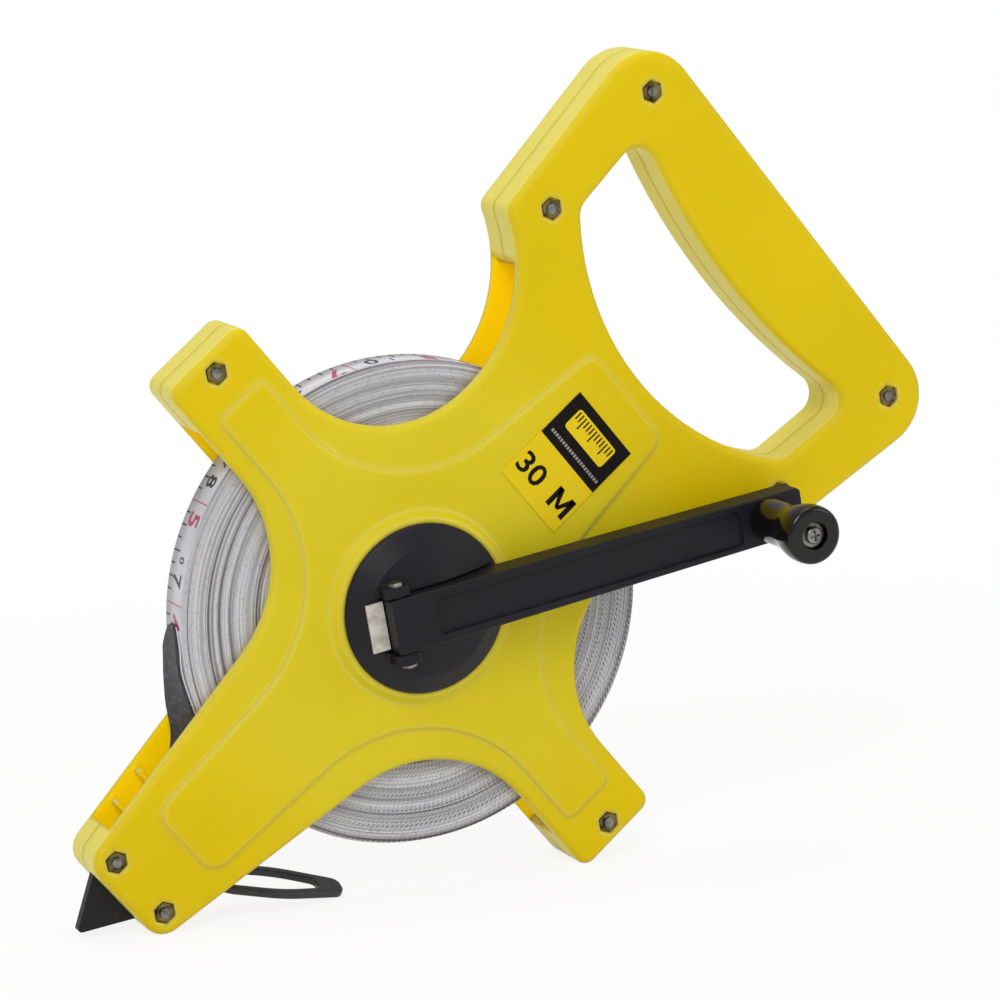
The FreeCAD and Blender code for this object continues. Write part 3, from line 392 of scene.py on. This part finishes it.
# the nuts' yellow tint is a painted reflection of the yellow frame round them
nut_zinc_yellow_reflection = metal("nut_zinc_yellow_reflection", srgb(132, 116, 74), srgb(46, 40, 28), 0.38)
plate_steel = metal("latch_spring_steel", srgb(222, 216, 205), srgb(186, 179, 167), 0.50, 0.3, (30, 90, 12))
nylon = plastic("white_nylon", srgb(214, 212, 204), srgb(204, 202, 192), 0.5, 0.1)
tape_edges = tape_edge_material()
tape_face = tape_face_material()
black_ink = ink("black_ink", srgb(38, 36, 40))
red_ink = ink("red_ink", srgb(184, 66, 90))
webbing = webbing_material()
label_black = plastic("label_black", srgb(20, 14, 11), srgb(16, 11, 9), 0.42, 0.03, scratches=0.3, gloss=0.1)
label_yellow = plastic("label_yellow", srgb(228, 198, 4), srgb(222, 192, 4), 0.40, 0.03, scratches=0.3,
                       gloss=0.2)
label_grey = plastic("label_grey", srgb(150, 148, 146), srgb(136, 134, 132), 0.4, 0.03, scratches=0.3)

CAD_FINISH = {
    "front_half": yellow,
    "rear_half": yellow,
    "frame_bolts": zinc,
    "frame_nuts": nut_zinc_yellow_reflection,
    "ground_spike": spike_black,
    "label_plate": label_yellow,
    "reel_drum": black,
    "tape_anchor_pin": zinc,
    "thrust_washer_front": nylon,
    "thrust_washer_rear": nylon,
    "hub_disc_front": black,
    "hub_disc_rear": black,
    "hub_screws": zinc,
    "crank_arm": black,
    "crank_hinge_pin": zinc,
    "hinge_pin_clip": zinc,
    "crank_latch_spring": plate_steel,
    "knob": gloss_black,
    "knob_spindle": zinc,
    "knob_washer": zinc,
    "knob_screw": zinc,
    "end_loop": loop_black,
    "tape_run": tape_face,
    "tape_lead": webbing,
    "lead_rivets": zinc,
}
for name, finish in CAD_FINISH.items():
    mesh = frame["nodes"][name].data
    mesh.materials.clear()
    mesh.materials.append(finish)

# ---------------------------------------------------------------- pieces


def new_piece(name, points, faces, materials, body, face_material=None, smooth=True):
    """A modelled piece that rides on a body; face_material gives each face's material by number."""
    mesh = bpy.data.meshes.new(name)
    mesh.from_pydata([tuple(point) for point in points], [], faces)
    for finish in materials:
        mesh.materials.append(finish)
    if face_material is not None:
        mesh.polygons.foreach_set("material_index", face_material)
    mesh.polygons.foreach_set("use_smooth", [smooth] * len(mesh.polygons))
    mesh.update()
    piece = bpy.data.objects.new(name, mesh)
    bpy.context.scene.collection.objects.link(piece)
    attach(piece, body)
    return piece


def round_drum(radius, angle, y):
    """Point at that distance and angle round the drum's axis."""
    return Vector((drum_axis.x + radius * math.cos(angle), y, drum_axis.z + radius * math.sin(angle)))


EDGE_STEPS = 160
OUTLINE_SLACK = 0.7 * MM     # the winding is this uneven round its outside


def outline_drop(angle):
    """How far the outer turn lies inside the coil's full radius at that angle."""
    waver = field.noise(Vector((math.cos(angle) * 1.5, math.sin(angle) * 1.5, 7.7)))
    uneven = 1 - 0.85 * max(0.0, -math.cos(angle))
    return 0.04 * MM + OUTLINE_SLACK * uneven * min(1.0, max(0.0, 0.35 - waver))


EDGE_SPREAD = 0.22 * MM      # how far a turn's edge stands out or in
EDGE_MARGIN = 0.05 * MM
GROOVE_DEPTH = 0.16 * MM     # between two turns


def turn_profile():
    """Rows of points across the coil's side: radius, shift out or in, number of the turn, groove's depth."""
    turns = round((coil_radius - coil_inner_radius) / TURN)
    pitch = (coil_radius - coil_inner_radius) / turns
    rng = random.Random(4)
    offsets = [rng.uniform(-1, 1) for _ in range(turns)]
    smooth_offsets = [sum(offsets[max(0, i - 1):i + 2]) / 3 for i in range(turns)]
    groups = [field.noise(Vector((i * 0.17, 3.1, 0.4))) for i in range(turns)]
    profile = []
    for i in range(turns):
        shift = 0.6 * smooth_offsets[i] + 0.4 * groups[i]
        start = coil_inner_radius + i * pitch
        profile.append((start + 0.06 * pitch, shift, i, GROOVE_DEPTH))
        profile.append((start + 0.28 * pitch, shift, i, 0.0))
        profile.append((start + 0.80 * pitch, shift, i, 0.0))
    profile.append((coil_radius, 0.0, turns, 0.0))
    return profile


def wound_tape():
    """The coil as separate turns: every turn's edges stand a little in or out, and drift round the coil."""
    profile = turn_profile()
    points, faces, marks = [], [], []
    for side in (-1, 1):
        for radius, shift, turn, sunk in profile:
            for step in range(EDGE_STEPS):
                angle = 2 * math.pi * step / EDGE_STEPS
                drift = field.noise(Vector((math.cos(angle) * 0.9, math.sin(angle) * 0.9,
                                            turn * 0.11 + side)))
                out = EDGE_SPREAD * (shift + 0.8 * drift - 1.0) * 0.5 - EDGE_MARGIN - sunk
                share = (radius - coil_inner_radius) / (coil_radius - coil_inner_radius)
                reach = radius - outline_drop(angle) * share ** 2
                points.append(round_drum(reach, angle, coil_middle_y + side * (coil_half_width + out)))
    rows = len(profile)

    def index(side, row, step):
        return (side * rows + row) * EDGE_STEPS + step % EDGE_STEPS

    for side in (0, 1):
        for row in range(rows - 1):
            for step in range(EDGE_STEPS):
                face = [index(side, row, step), index(side, row, step + 1),
                        index(side, row + 1, step + 1), index(side, row + 1, step)]
                faces.append(face if side else face[::-1])
                marks.append(0)
    for row, outward in ((rows - 1, True), (0, False)):
        for step in range(EDGE_STEPS):
            face = [index(0, row, step), index(0, row, step + 1),
                    index(1, row, step + 1), index(1, row, step)]
            faces.append(face[::-1] if outward else face)
            marks.append(1)
    coil = new_piece("wound_tape", points, faces, [tape_edges, tape_face], "reel", marks)
    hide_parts("tape_coil")


wound_tape()

# ---------------------------------------------------------------- printed scale on the outer turn

SCALE_MARKS = 15             # numbered lines round the outer turn
SCALE_START = 149.9          # degrees round the drum, of the line numbered 5
DIVISIONS = 8
PRINT_MARGIN = 0.25 * MM     # bare tape along its edges
LINE_HALF = 0.16 * MM
TICK_HALF = 0.24 * MM
FIGURE_WEIGHT = 0.02
LONG_TICK, MIDDLE_TICK, SHORT_TICK = 4.8, 3.6, 2.9   # mm, for the half, the quarters and the eighths
RED_FIGURE = (4.2, 7.6 * MM, -1.2 * MM)              # degrees past its line, height, place across the tape
BLACK_FIGURE = (-5.4, 6.2 * MM, -0.6 * MM)
SMALL_FIGURE = (-10.2, 3.4 * MM, -1.6 * MM)
PRINT_RISE = 0.03 * MM


def on_tape(angle, across):
    """Point on the outer turn's printed face; across runs from its front edge to its rear edge."""
    turn = math.radians(angle)
    return round_drum(coil_radius - outline_drop(turn) + PRINT_RISE, turn, coil_middle_y + across)


def flat_letters(text, height, weight):
    """Outline of printed characters, their lower left corner at 0, 0: points, faces and their length."""
    curve = bpy.data.curves.new("letters", "FONT")
    curve.body = text
    curve.resolution_u = 3
    curve.offset = weight
    holder = bpy.data.objects.new("letters", curve)
    mesh = bpy.data.meshes.new_from_object(holder)
    points = [vertex.co.to_2d() for vertex in mesh.vertices]
    faces = [tuple(polygon.vertices) for polygon in mesh.polygons]
    left = min(point.x for point in points)
    bottom = min(point.y for point in points)
    scale = height / (max(point.y for point in points) - bottom)
    points = [((point.x - left) * scale, (point.y - bottom) * scale) for point in points]
    bpy.data.objects.remove(holder)
    bpy.data.curves.remove(curve)
    bpy.data.meshes.remove(mesh)
    return points, faces, max(point[0] for point in points)


class Print:
    """Flat printed shapes gathered into one piece."""

    def __init__(self):
        self.points, self.faces = [], []

    def shape(self, points, faces):
        first = len(self.points)
        self.points += points
        self.faces += [tuple(first + i for i in face) for face in faces]

    def strip(self, corner, start, end, low, high):
        """Four-sided patch from start to end along one way and low to high across it."""
        points = [corner(start, low), corner(start, high), corner(end, low), corner(end, high)]
        self.shape(points, [(0, 2, 3, 1)])

    def finish(self, name, material, body, slot):
        return new_piece(name, self.points, self.faces, [material], body, smooth=False)


def tape_print():
    """Numbered red lines, black divisions and the figures between them."""
    black_print, red_print = Print(), Print()
    step = 360.0 / SCALE_MARKS
    edge = coil_half_width - PRINT_MARGIN
    half_line = math.degrees(LINE_HALF / coil_radius)
    half_tick = math.degrees(TICK_HALF / coil_radius)

    def number(sheet, text, line, figure):
        past, height, middle = figure
        points, faces, length = flat_letters(text, height, FIGURE_WEIGHT)
        placed = []
        for along, up in points:
            turn = math.degrees((along - length / 2) / coil_radius)
            placed.append(on_tape(line + past + turn, middle + height / 2 - up))
        sheet.shape(placed, faces)

    for mark in range(SCALE_MARKS):
        start = SCALE_START + mark * step
        value = (5 - mark) % SCALE_MARKS
        red_print.strip(on_tape, start - half_line, start + half_line, -edge, edge)
        for division in range(1, DIVISIONS):
            at = start + step * division / DIVISIONS
            reach = SHORT_TICK if division % 2 else MIDDLE_TICK if division % 4 else LONG_TICK
            black_print.strip(on_tape, at - half_tick, at + half_tick, edge - reach * MM, edge)
        number(red_print, str(value), start, RED_FIGURE)
        number(black_print, str((value + 3) % 10), start, BLACK_FIGURE)
        number(black_print, str((value * 7 + 2) % 10), start, SMALL_FIGURE)
    black_print.finish("scale_black_print", black_ink, "reel", "fibreglass_tape")
    red_print.finish("scale_red_print", red_ink, "reel", "fibreglass_tape")


tape_print()

# ---------------------------------------------------------------- lead and last stretch of tape

TWIST = math.radians(24)     # the hanging tape turns this far about its rear edge, then back
TWIST_TOP = drum_axis.z - 7 * MM
TWIST_MIDDLE = drum_axis.z - 32 * MM
TWIST_LOW = lead_low.z + 16 * MM
TOP_LEAN = 0.3 * MM          # where the tape leaves the coil
TWIST_LEAN = 1.2 * MM        # where it is twisted most
BAND_ROWS, BAND_COLUMNS = 60, 8
BAND_SWAY = 0.12 * MM        # the strips aren't quite straight
BAND_CURL = 0.25 * MM        # their edges stand this far out from their middle
TIP_SHIFT = 1.8 * MM         # the lead's point lies this far towards the front edge
TIP_LENGTH = 8 * MM
STRIP_THICKNESS = 0.42 * MM
LEAD_THICKNESS = 0.7 * MM
LEAD_END_RISE = 4.0 * MM     # lower end of the lead's full width above the loop's pivot
EYE_INNER = 1.36 * MM
EYE_OUTER = 2.36 * MM
EYE_HALF = 2.5 * MM          # half of the eye's length along the loop's bar
FOLD_HALF = 2.15 * MM        # half width of the fold above the eye


def eased(value):
    """0 to 1 with soft ends."""
    value = min(1.0, max(0.0, value))
    return value * value * (3 - 2 * value)


def band_twist(height):
    """Twist at that height: none on the coil, most above the foot arm, none at the rivets."""
    if height > TWIST_MIDDLE:
        return TWIST * eased((TWIST_TOP - height) / (TWIST_TOP - TWIST_MIDDLE))
    return TWIST * eased((height - TWIST_LOW) / (TWIST_MIDDLE - TWIST_LOW))


def band_lean(height):
    """How far the hanging tape leans in towards the drum at that height, without reaching the coil."""
    on_coil = eased((height - drum_axis.z) / (10 * MM) + 1.5)
    return TOP_LEAN * on_coil + TWIST_LEAN * (band_twist(height) / TWIST) ** 6


def hanging_band(name, low, high, half_width, face_x, thickness, finish):
    """Flat strip that hangs from high to low; half_width gives its half width at a height."""
    half_full = half_width(low)
    points, faces = [], []
    for side in (0, 1):
        for row in range(BAND_ROWS + 1):
            height = high - (high - low) * (row / BAND_ROWS) ** 1.15
            half = half_width(height)
            twist = band_twist(height)
            sway = field.noise(Vector((height * 38, 4.2, 0.3))) * BAND_SWAY
            for column in range(BAND_COLUMNS + 1):
                offset = half * (2 * column / BAND_COLUMNS - 1) - TIP_SHIFT * (1 - half / half_full)
                reach = half_full - offset
                curl = BAND_CURL * (offset / coil_half_width) ** 2
                out = thickness * side + curl + sway * eased((high - height) / (20 * MM))
                x = face_x + band_lean(height) - out * math.cos(twist) + reach * math.sin(twist)
                y = coil_middle_y + half_full - reach * math.cos(twist) - out * math.sin(twist)
                points.append(Vector((x, y, height)))
    row_size = BAND_COLUMNS + 1
    back = (BAND_ROWS + 1) * row_size
    for row in range(BAND_ROWS):
        for column in range(BAND_COLUMNS):
            a = row * row_size + column
            quad = (a, a + 1, a + 1 + row_size, a + row_size)
            faces.append(quad)
            faces.append(tuple(back + i for i in reversed(quad)))
        for column in (0, BAND_COLUMNS):
            a = row * row_size + column
            quad = (a, a + row_size, back + a + row_size, back + a)
            faces.append(quad if column == 0 else quad[::-1])
    for row in (0, BAND_ROWS):
        for column in range(BAND_COLUMNS):
            a = row * row_size + column
            quad = (a, back + a, back + a + 1, a + 1)
            faces.append(quad if row == 0 else quad[::-1])
    return new_piece(name, points, faces, [finish], "frame")


def lead_half_width(height):
    """Half width of the lead, with a rounded point at its top."""
    full = (lead_high.y - lead_low.y) / 2
    below = (lead_high.z - height) / TIP_LENGTH
    return full * math.sqrt(min(1.0, max(0.003, below)))


def strip_half_width(height):
    """Half width of the hanging tape, which stays behind the lead's point."""
    return min(coil_half_width - 0.05 * MM, lead_half_width(height + 0.3 * MM) + 0.1 * MM)


def make_eye():
    """The lead's fold and the eye that it makes round the loop's bar."""
    centre = Vector(joints["loop_swing"]["pos_m"])
    along = Vector(joints["loop_swing"]["axis"]).normalized()
    out = Vector((1, 0, 0)).cross(along).normalized()
    over = along.cross(out)
    steps = 32
    points, faces = [], []
    for end in (-1, 1):
        for radius in (EYE_INNER, EYE_OUTER):
            for step in range(steps):
                turn = 2 * math.pi * step / steps
                spoke = out * math.cos(turn) + over * math.sin(turn)
                points.append(centre + along * (end * EYE_HALF) + spoke * radius)
    for step in range(steps):
        after = (step + 1) % steps
        faces.append((step, after, steps + after, steps + step))
        faces.append((2 * steps + step, 3 * steps + step, 3 * steps + after, 2 * steps + after))
        faces.append((steps + step, steps + after, 3 * steps + after, 3 * steps + step))
        faces.append((step, 2 * steps + step, 2 * steps + after, after))
    new_piece("lead_eye", points, faces, [webbing], "frame")
    corners = []
    for rise, slope in (((EYE_INNER + EYE_OUTER) / 2, along.z / along.y), (LEAD_END_RISE + MM, 0.0)):
        for x in (run_low.x - LEAD_THICKNESS, run_high.x):
            for y in (-FOLD_HALF, FOLD_HALF):
                corners.append(Vector((x, coil_middle_y + y, centre.z + rise + slope * y)))
    box = [(0, 1, 3, 2), (4, 6, 7, 5), (0, 2, 6, 4), (1, 5, 7, 3), (0, 4, 5, 1), (2, 3, 7, 6)]
    new_piece("lead_fold", corners, box, [webbing], "frame", smooth=False)


lead_end = joints["loop_swing"]["pos_m"][2] + LEAD_END_RISE
strap = hanging_band("lead_strap", lead_end, lead_high.z, lead_half_width, run_low.x, LEAD_THICKNESS,
                     webbing)
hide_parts("tape_lead")
make_eye()
tape_band = hanging_band("tape_end_strip", run_low.z, run_high.z, strip_half_width,
                         run_high.x, STRIP_THICKNESS, tape_face)
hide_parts("tape_run")

# ---------------------------------------------------------------- label

label_low, label_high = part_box("label_plate")
label_middle = (label_low + label_high) / 2


def longest_side(node):
    """Direction of a flat plate's longest side: an edge with all of the plate on one side of it."""
    mesh = frame["nodes"][node].data
    corners = [vertex.co for vertex in mesh.vertices]
    best = Vector((0, 0, 0))
    for edge in mesh.edges:
        start = corners[edge.vertices[0]]
        span = corners[edge.vertices[1]] - start
        if span.length <= best.length:
            continue
        sides = [span.x * (corner.z - start.z) - span.z * (corner.x - start.x) for corner in corners]
        slack = span.length * 0.01 * MM
        if min(sides) > -slack or max(sides) < slack:
            best = span
    return best.normalized()


along_label = longest_side("label_plate")
along_label = along_label if along_label.x > 0 else -along_label
across_label = Vector((along_label.z, 0, -along_label.x))
LABEL_RISE = 0.03 * MM       # from one printed layer to the next
FIELD_HALF_WIDTH = 13.25 * MM
FIELD_START, FIELD_END = 0.1 * MM, 17.05 * MM
BADGE_MIDDLE = 10.3 * MM
BADGE_HALF_LENGTH, BADGE_HALF_WIDTH, BADGE_CORNER = 3.7 * MM, 9.2 * MM, 1.1 * MM
RULER_MARKS = 13
RULER_PITCH, RULER_LONG, RULER_SHORT = 1.35, 4.4, 2.7   # mm
RULER_TOP = 3.0 * MM         # from the badge's middle
RULER_HALF = 0.26 * MM
TEXT_FOOT = -13.0 * MM       # foot of the characters
DIGITS_START = -11.8 * MM
DIGIT_HEIGHT, DIGIT_STRETCH, DIGIT_WEIGHT = 6.9 * MM, 1.2, 0.018
LETTER_MIDDLE = 8.1 * MM
LETTER_STROKES = (((4.0, 0), (2.25, 0), (2.25, 7.0), (4.0, 7.0)),
                  ((3.9, 7.0), (2.0, 7.0), (-0.6, 1.2), (0.7, 1.2)))   # right half of the M, in mm
DASHES = 21
DASH_PITCH = 1.12            # mm
DASH_LOW, DASH_HIGH, DASH_LENGTH = 2.6 * MM, 3.6 * MM, 0.72 * MM


def label_layer(level):
    """Places over the label at that layer: along towards the grip, across in reading direction."""
    def place_at(along, across):
        point = label_middle + along_label * along + across_label * across
        return Vector((point.x, label_low.y - level * LABEL_RISE, point.z))
    return place_at


def rounded_corners(half_length, half_width, radius):
    """Outline of a rectangle with round corners, round its middle."""
    steps = 5
    corners = []
    for x, y, start in ((1, 1, 0), (-1, 1, 90), (-1, -1, 180), (1, -1, 270)):
        for step in range(steps + 1):
            turn = math.radians(start + 90 * step / steps)
            corners.append((x * (half_length - radius) + radius * math.cos(turn),
                            y * (half_width - radius) + radius * math.sin(turn)))
    return corners


def label_text(sheet, place_at):
    """The capacity mark: 30 M."""
    points, faces, _ = flat_letters("30", DIGIT_HEIGHT, DIGIT_WEIGHT)
    digits = [place_at(TEXT_FOOT + up, DIGITS_START + along * DIGIT_STRETCH) for along, up in points]
    sheet.shape(digits, faces)
    for side in (-1, 1):
        for stroke in LETTER_STROKES:
            corners = [place_at(TEXT_FOOT + up * MM, LETTER_MIDDLE + side * along * MM)
                       for along, up in stroke]
            sheet.shape(corners, [(0, 1, 2, 3)])


def make_label():
    """Dark field with a badge and a line of dashes, and the capacity mark beside it."""
    first, second, third = label_layer(1), label_layer(2), label_layer(3)
    field_sheet = Print()
    field_sheet.strip(first, FIELD_START, FIELD_END, -FIELD_HALF_WIDTH, FIELD_HALF_WIDTH)
    field_sheet.finish("label_dark_field", label_black, "frame", "label_print")

    badge = Print()
    outline = rounded_corners(BADGE_HALF_LENGTH, BADGE_HALF_WIDTH, BADGE_CORNER)
    corners = [second(BADGE_MIDDLE + along, across) for along, across in outline]
    badge.shape(corners, [tuple(range(len(corners)))])
    badge.finish("label_badge", label_yellow, "frame", "label_print")

    marks = Print()
    top = BADGE_MIDDLE + RULER_TOP
    for i in range(RULER_MARKS):
        at = (i - RULER_MARKS // 2) * RULER_PITCH * MM
        reach = (RULER_LONG if i % 4 == 2 else RULER_SHORT) * MM
        marks.strip(third, top - reach, top, at - RULER_HALF, at + RULER_HALF)
    label_text(marks, first)
    marks.finish("label_marks", label_black, "frame", "label_print")

    line = Print()
    for i in range(DASHES):
        at = (i - DASHES // 2) * DASH_PITCH * MM
        line.strip(second, DASH_LOW, DASH_HIGH, at, at + DASH_LENGTH)
    line.finish("label_grey_dashes", label_grey, "frame", "label_print")


make_label()

# ---------------------------------------------------------------- stage, light and camera

GROUND = 4.0                 # metres from the reel to the floor's edges


def make_floor():
    """Pale floor that fades to white away from the reel."""
    mesh = bpy.data.meshes.new("floor")
    corners = [(x * GROUND, y * GROUND, 0) for x, y in ((-1, -1), (1, -1), (1, 1), (-1, 1))]
    mesh.from_pydata(corners, [], [(0, 1, 2, 3)])
    material, tree, shader = new_material("floor_white")
    shader.inputs["Base Color"].default_value = (0.9, 0.9, 0.9, 1)
    shader.inputs["Roughness"].default_value = 0.9
    shader.inputs["Specular IOR Level"].default_value = 0.1
    glow = add(tree, "Emission", {"Color": (1, 1, 1, 1), "Strength": 1.0})
    rays = add(tree, "LightPath")
    seen = math_node(tree, "MAXIMUM", rays.outputs["Is Camera Ray"], rays.outputs["Is Glossy Ray"])
    away = add(tree, "VectorMath", {0: add(tree, "TexCoord").outputs["Object"]}, operation="LENGTH")
    whiter = between(tree, away.outputs["Value"], 0.20, 0.50, 0.84, 1.0)
    share = math_node(tree, "MULTIPLY", seen, whiter)
    both = add(tree, "MixShader", {0: share})
    tree.links.new(shader.outputs[0], both.inputs[1])
    tree.links.new(glow.outputs[0], both.inputs[2])
    tree.links.new(both.outputs[0], tree.nodes["Material Output"].inputs["Surface"])
    mesh.materials.append(material)
    floor = bpy.data.objects.new("floor", mesh)
    bpy.context.scene.collection.objects.link(floor)


def make_world(strength):
    """White surroundings: full white to the camera, and of that strength as light."""
    world = bpy.data.worlds.new("studio")
    bpy.context.scene.world = world
    world.use_nodes = True
    tree = world.node_tree
    background = tree.nodes["Background"]
    background.inputs["Color"].default_value = (1, 1, 1, 1)
    rays = add(tree, "LightPath")
    seen = rays.outputs["Is Camera Ray"]
    tree.links.new(between(tree, seen, 0, 1, strength, 1.0), background.inputs["Strength"])


def softbox(name, centre, aim, size, power):
    """Rectangular lamp at centre that faces aim."""
    data = bpy.data.lights.new(name, "AREA")
    data.shape = "RECTANGLE"
    data.size, data.size_y = size
    data.energy = power
    lamp = bpy.data.objects.new(name, data)
    lamp.location = centre
    lamp.rotation_euler = (Vector(aim) - Vector(centre)).to_track_quat("-Z", "Y").to_euler()
    bpy.context.scene.collection.objects.link(lamp)


make_floor()
make_world(0.46)
middle = (cad_low + cad_high) / 2
softbox("key_light", (-0.9, -1.1, 1.5), middle, (0.9, 0.9), 17)
softbox("fill_light", (1.2, -1.0, 0.8), middle, (0.9, 0.9), 5.5)
softbox("top_light", (0.1, 0.3, 1.7), middle, (1.0, 1.0), 8)

CAMERA_AZIMUTH = -24.53      # degrees
CAMERA_ELEVATION = 11.57
CAMERA_ROLL = -1.835
CAMERA_DISTANCE = 1.1494     # metres
CAMERA_LENS, CAMERA_SENSOR = 138.87, 36.0   # mm
CAMERA_SHIFT = (0.001, -0.006)
CAMERA_AIM = Vector((25.2, -15.0, 31.9)) * MM   # from the drum's axis


def make_camera():
    """Camera in front of the crank side, a little to the foot arm's side and above."""
    azimuth, elevation = math.radians(CAMERA_AZIMUTH), math.radians(CAMERA_ELEVATION)
    back = Vector((math.sin(azimuth) * math.cos(elevation), -math.cos(azimuth) * math.cos(elevation),
                   math.sin(elevation)))
    data = bpy.data.cameras.new("camera")
    data.lens = CAMERA_LENS
    data.sensor_width = CAMERA_SENSOR
    data.shift_x, data.shift_y = CAMERA_SHIFT
    data.clip_start, data.clip_end = 0.05, 50.0
    camera = bpy.data.objects.new("camera", data)
    camera.location = drum_axis + CAMERA_AIM + back * CAMERA_DISTANCE
    turn = (-back).to_track_quat("-Z", "Y").to_matrix().to_4x4()
    camera.rotation_euler = (turn @ Matrix.Rotation(math.radians(CAMERA_ROLL), 4, "Z")).to_euler()
    bpy.context.scene.collection.objects.link(camera)
    bpy.context.scene.camera = camera


make_camera()
bpy.context.scene.view_settings.view_transform = "Standard"
